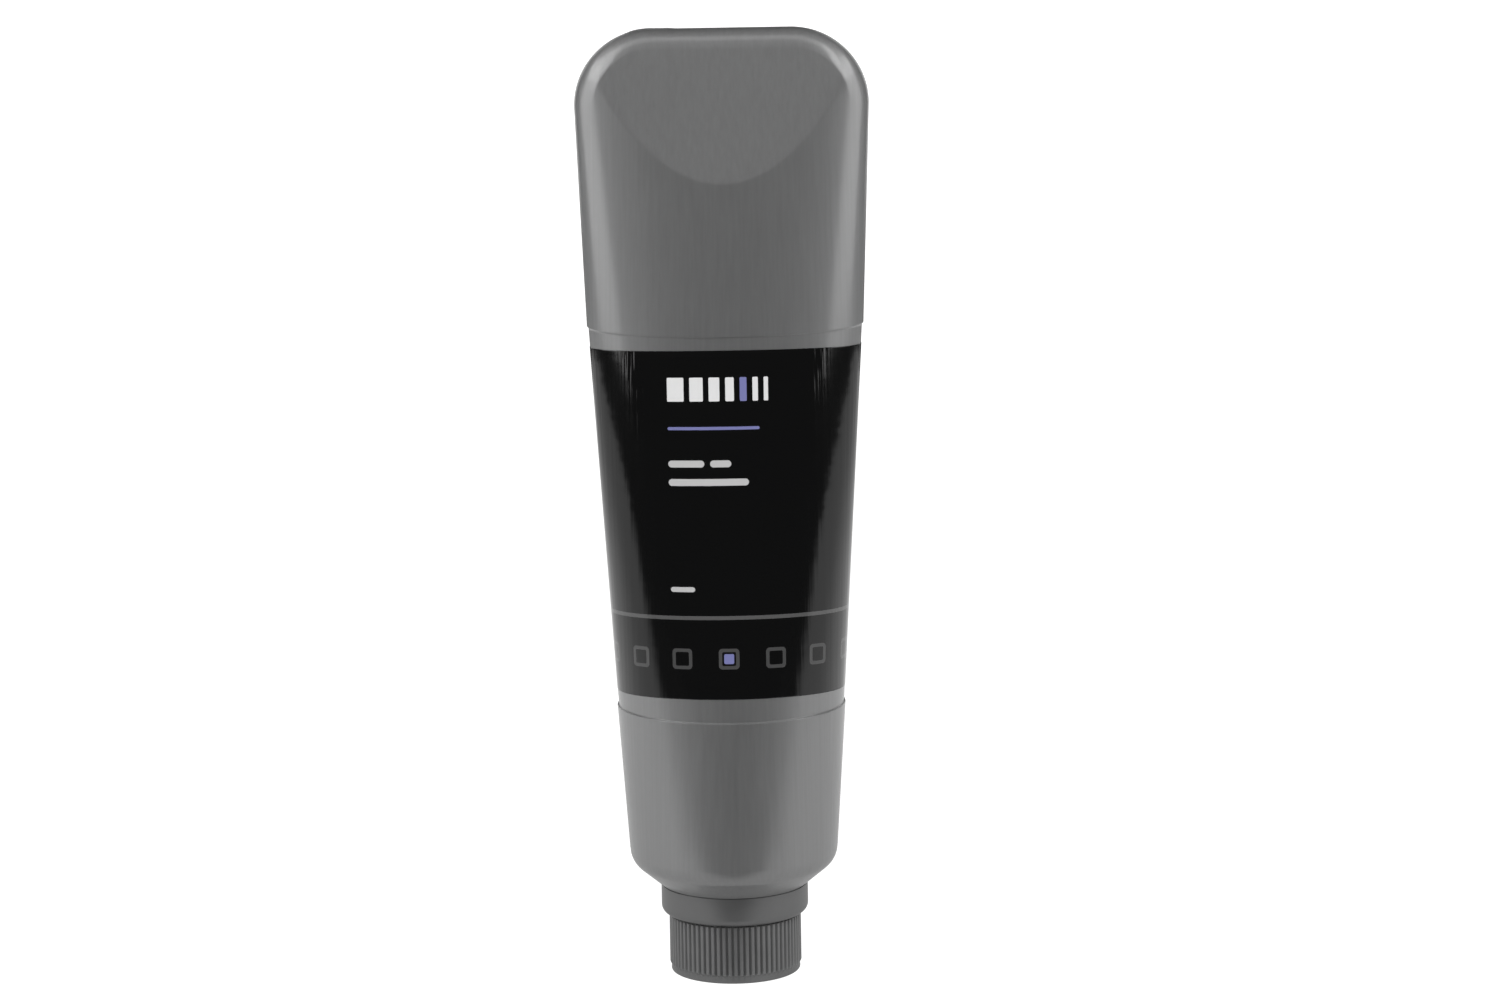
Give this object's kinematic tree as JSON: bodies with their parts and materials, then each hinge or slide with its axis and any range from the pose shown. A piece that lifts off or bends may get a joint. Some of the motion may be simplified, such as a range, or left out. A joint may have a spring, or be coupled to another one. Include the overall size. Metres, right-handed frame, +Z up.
{
  "type": "grease tube",
  "caption": "Squeeze tube of grease standing on a ribbed screw cap, with a round shoulder, a recessed dark label band and a flat, round-cornered tail.",
  "frame": {"origin": "centre of the cap's end face, which the tube stands on", "axes": "+Z up along the tube to the tail, X across the width of the tail, the front faces -Y"},
  "size_m": [0.0756, 0.054, 0.2501],
  "materials": {
    "silver_wall": "satin",
    "label_black": "gloss",
    "grease": "satin",
    "foil": "satin",
    "cap_grey": "satin",
    "liner_foam": "matte"
  },
  "bodies": {
    "tube": {"tube_body": "silver_wall", "label_film": "label_black", "grease_fill": "grease", "foil_seal": "foil"},
    "ring": {"tamper_ring": "cap_grey"},
    "liner": {"cap_liner": "liner_foam"},
    "cap": {"screw_cap": "cap_grey"}
  },
  "joints": [
    {"name": "cap_lift", "type": "slide", "parent": "tube", "child": "liner", "axis": [0, 0, -1], "range_m": [0, 0.0107]},
    {"name": "cap_turn", "type": "hinge", "parent": "liner", "child": "cap", "pos_m": [0, 0, 0.007], "axis": [0, 0, -1], "range_deg": [0, 1100]},
    {"name": "ring_turn", "type": "hinge", "parent": "tube", "child": "ring", "pos_m": [0, 0, 0.019], "axis": [0, 0, 1], "continuous": true}
  ],
  "couplings": [
    {"joint": "cap_lift", "follows": "cap_turn", "m_per_rad": 0.00055704}
  ]
}
